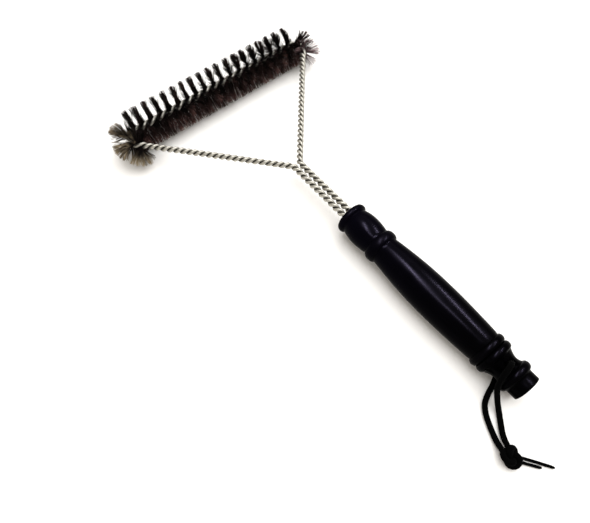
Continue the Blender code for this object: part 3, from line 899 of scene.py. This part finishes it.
def handle_piece(finish):
    """The turned handle, bored for the wires and drilled for the lanyard."""
    outline = [(FRONT_Y - back * MM, radius * MM) for back, radius in handle_profile()]
    turned = lathe("turned_blank", outline, HANDLE_SIDES)
    cutters = [bore_cutter(), hole_cutter()]
    for cutter in cutters:
        change = turned.modifiers.new("cut", "BOOLEAN")
        change.operation = "DIFFERENCE"
        change.solver = "EXACT"
        change.object = cutter
    bpy.context.view_layer.update()
    mesh = bpy.data.meshes.new_from_object(turned.evaluated_get(bpy.context.evaluated_depsgraph_get()))
    for obj in [turned] + cutters:
        bpy.data.objects.remove(obj, do_unlink=True)
    crest = mesh.attributes.new("crest", "FLOAT", "POINT")
    front = mesh.attributes.new("front", "FLOAT", "POINT")
    for vertex, crest_slot, front_slot in zip(mesh.vertices, crest.data, front.data):
        back = (FRONT_Y - vertex.co.y) / MM
        crest_slot.value = max(math.exp(-((back - ring[0]) / width) ** 2) for ring, width in CREST_WIDTHS)
        # where the painted violet sheen lies: full at the front face, fading to none at its end
        front_slot.value = clamp((PAINTED_SHEEN_END - back) / PAINTED_SHEEN_END)
    mesh.transform(TO_WORLD)
    mesh.materials.clear()
    mesh.materials.append(finish)
    mesh.shade_smooth()
    mesh.set_sharp_from_angle(angle=SHARP_ANGLE)
    return linked("handle_turned", mesh)


# lanyard

def smooth_points(route, spacing):
    """Even points along a curve through the route's own points, and the curve's length."""
    route = [np.array(p, float) for p in route]
    ends = [route[0] * 2 - route[1]] + route + [route[-1] * 2 - route[-2]]
    fine = []
    for a, b, c, d in zip(ends, ends[1:], ends[2:], ends[3:]):
        for t in np.arange(CURVE_STEPS) / CURVE_STEPS:
            fine.append(curve_point(a, b, c, d, t))
    fine = np.array(fine + [route[-1]])
    lengths = np.concatenate([[0], np.cumsum(np.linalg.norm(np.diff(fine, axis=0), axis=1))])
    targets = np.linspace(0, lengths[-1], max(3, round(lengths[-1] / spacing) + 1))
    return np.stack([np.interp(targets, lengths, fine[:, k]) for k in range(3)], axis=1), lengths[-1]


def braid_lift(turn, along, lay):
    """Height of the braid's surface, 0 to 1: yarns that run both ways pass over and under each other."""
    first = BRAID_YARNS * (turn + along / lay)
    second = BRAID_YARNS * (turn - along / lay)
    over = np.sin(np.pi * first) * np.sin(np.pi * second) > 0
    middle = np.pi * (first + second) / 2
    yarn = np.where(over, np.abs(np.sin(middle)), np.abs(np.cos(middle)))
    groove = np.minimum(np.abs(np.sin(np.pi * first)), np.abs(np.sin(np.pi * second)))
    return np.clip((1 - GROOVE_SHARE) * yarn + GROOVE_SHARE * np.sqrt(groove), 0, 1)


def braided_cord(name, line, radius, finish, ends=(1.0, 1.0)):
    """A braided cord round an even line of points in millimetres; ends scale its radius at each end."""
    sides = BRAID_SIDES if radius > THIN_CORD else BRAID_SIDES * 2 // 3
    step = np.linalg.norm(line[1] - line[0])
    along = np.arange(len(line)) * step
    taper = np.interp(along, (0, TAPER_LENGTH, along[-1] - TAPER_LENGTH, along[-1]), (ends[0], 1, 1, ends[1]))
    turn = np.arange(sides)[None, :] / sides
    lift = braid_lift(turn, along[:, None], BRAID_LAY * 2 * radius)
    out = sweep(line, 1, sides) - line[:, None]
    radii = radius * taper[:, None] * (1 - BRAID_DEPTH * (1 - lift))
    points = (line[:, None] + out * radii[..., None]).reshape(-1, 3) * MM
    faces = tube_faces(len(line), sides)
    return mesh_object(name, points, faces, finish, {"lift": lift.reshape(-1)})


def cord_piece(name, route, radius, finish, node, **shape):
    """A cord along a route, with its line and its length in metres."""
    line, length = smooth_points(route, BRAID_STEP)
    line[:, 2] = np.maximum(line[:, 2], radius + CORD_GAP)
    obj = braided_cord(name, line, radius, finish, **shape)
    declare(obj, CORD_BODY, "lanyard_cord", node)
    return obj, line * MM, length * MM


def knot_piece(finish):
    """The overhand knot pulled tight: the cord passes twice round and three times over itself."""
    t = np.linspace(0, math.tau, KNOT_STEPS, endpoint=False)
    away = KNOT_RADIUS + KNOT_RISE * np.cos(3 * t)
    line = np.stack([away * np.cos(2 * t), away * np.sin(2 * t), KNOT_RISE * np.sin(3 * t)], axis=1)
    turn = Matrix.Rotation(KNOT_LEAN, 3, Vector(KNOT_LEAN_AXIS)) @ Matrix.Rotation(KNOT_TURN, 3, "Z")
    line = line @ np.array(turn).T
    length = np.linalg.norm(line - np.roll(line, 1, axis=0), axis=1).sum()
    lay = length / round(length / (BRAID_LAY * 2 * KNOT_CORD_RADIUS))
    sides = BRAID_SIDES
    along = length * np.arange(KNOT_STEPS) / KNOT_STEPS
    lift = braid_lift(np.arange(sides)[None, :] / sides, along[:, None], lay)
    out = sweep(line, 1, sides, axis=turn.col[2]) - line[:, None]
    radii = KNOT_CORD_RADIUS * (1 - BRAID_DEPTH * (1 - lift))
    points = (line[:, None] + out * radii[..., None]).reshape(-1, 3)
    points += np.array(KNOT_CENTRE)
    points[:, 2] += CORD_GAP - points[:, 2].min()
    return mesh_object("knot", points * MM, tube_faces(KNOT_STEPS, sides, looped=True), finish,
                       {"lift": lift.reshape(-1)})


# camera, floor and light

def add_camera():
    forward = Vector((math.sin(CAMERA_HEADING) * math.cos(CAMERA_PITCH),
                      math.cos(CAMERA_HEADING) * math.cos(CAMERA_PITCH), -math.sin(CAMERA_PITCH)))
    data = bpy.data.cameras.new("camera")
    data.lens = CAMERA_LENS
    data.sensor_width = SENSOR_WIDTH
    data.clip_start = CLIP_START
    obj = linked("camera", data)
    aim = forward.to_track_quat("-Z", "Y").to_matrix().to_4x4()
    obj.matrix_world = Matrix.Translation(CAMERA_PLACE) @ aim @ Matrix.Rotation(CAMERA_ROLL, 4, "Z")
    bpy.context.scene.camera = obj


def add_floor(finish):
    bpy.ops.mesh.primitive_plane_add(size=FLOOR_SIZE)
    obj = bpy.context.object
    obj.name = "floor"
    obj.data.materials.append(finish)


def add_light(name, place, target, size, power, colour, along=(0, 1, 0)):
    """An area light.  The second side of its size runs the way along points."""
    data = bpy.data.lights.new(name, "AREA")
    data.shape = "RECTANGLE"
    data.size, data.size_y = size
    data.energy = power
    data.color = colour
    back = (Vector(place) - Vector(target)).normalized()
    side = Vector(along).cross(back).normalized()
    turn = Matrix((side, back.cross(side), back)).transposed()
    obj = linked(name, data)
    obj.matrix_world = Matrix.Translation(place) @ turn.to_4x4()
    return obj


def add_strip(piece, name, start, end, width, power):
    """A strip of light from start to end that only glints on one piece."""
    start, end = Vector(start), Vector(end)
    size = (width, (end - start).length)
    strip = add_light(name, (start + end) / 2, STRIP_TARGET, size, power, STRIP_COLOUR, along=end - start)
    strip.visible_diffuse = False
    lit = bpy.data.collections.new(f"lit_by_{name}")
    lit.objects.link(piece)
    strip.light_linking.receiver_collection = lit


def add_world(colour, strength):
    world = bpy.data.worlds.new("studio")
    world.use_nodes = True
    back = world.node_tree.nodes["Background"]
    back.inputs["Color"].default_value = (*colour, 1)
    back.inputs["Strength"].default_value = strength
    bpy.context.scene.world = world


def add_studio(handle):
    add_world(WORLD_COLOUR, WORLD_STRENGTH)
    add_light("key", KEY_PLACE, (0, 0, 0), (KEY_SIZE, KEY_SIZE), KEY_POWER, KEY_COLOUR)
    for name, strip in STRIPS.items():
        add_strip(handle, name, *strip)
    bpy.context.scene.view_settings.view_transform = "Standard"


def main():
    add_camera()
    cord = cord_finish()
    over, over_line, over_length = cord_piece(
        "cord_over", STRAND_OVER, CORD_RADIUS, cord, "lanyard_strand_over")
    under, under_line, under_length = cord_piece(
        "cord_under", STRAND_UNDER, CORD_RADIUS, cord, "lanyard_strand_under")
    ends = (1.0, TAIL_END)
    tail_long = cord_piece("tail_long", TAIL_LONG, TAIL_RADIUS, cord, "lanyard_tail_long", ends=ends)[0]
    tail_short = cord_piece("tail_short", TAIL_SHORT, TAIL_RADIUS, cord, "lanyard_tail_short", ends=ends)[0]
    knot = knot_piece(cord)
    declare(knot, CORD_BODY, "lanyard_cord", "lanyard_knot")

    wire = wire_finish()
    for name, side in (("a", 1), ("b", -1)):
        declare(twisted_wire(f"wire_{name}", side, wire), BODY, "wire", f"wire_strand_{name}")
    sooty = bristle_finish()
    for number in range(TUFTS):
        declare(bristle_tuft(number, sooty), BODY, "bristles", f"bristle_tuft_{number + 1:02d}")
    handle = handle_piece(lacquer_finish())
    declare(handle, BODY, "handle_lacquer", "handle")

    add_floor(floor_finish())
    add_studio(handle)


main()
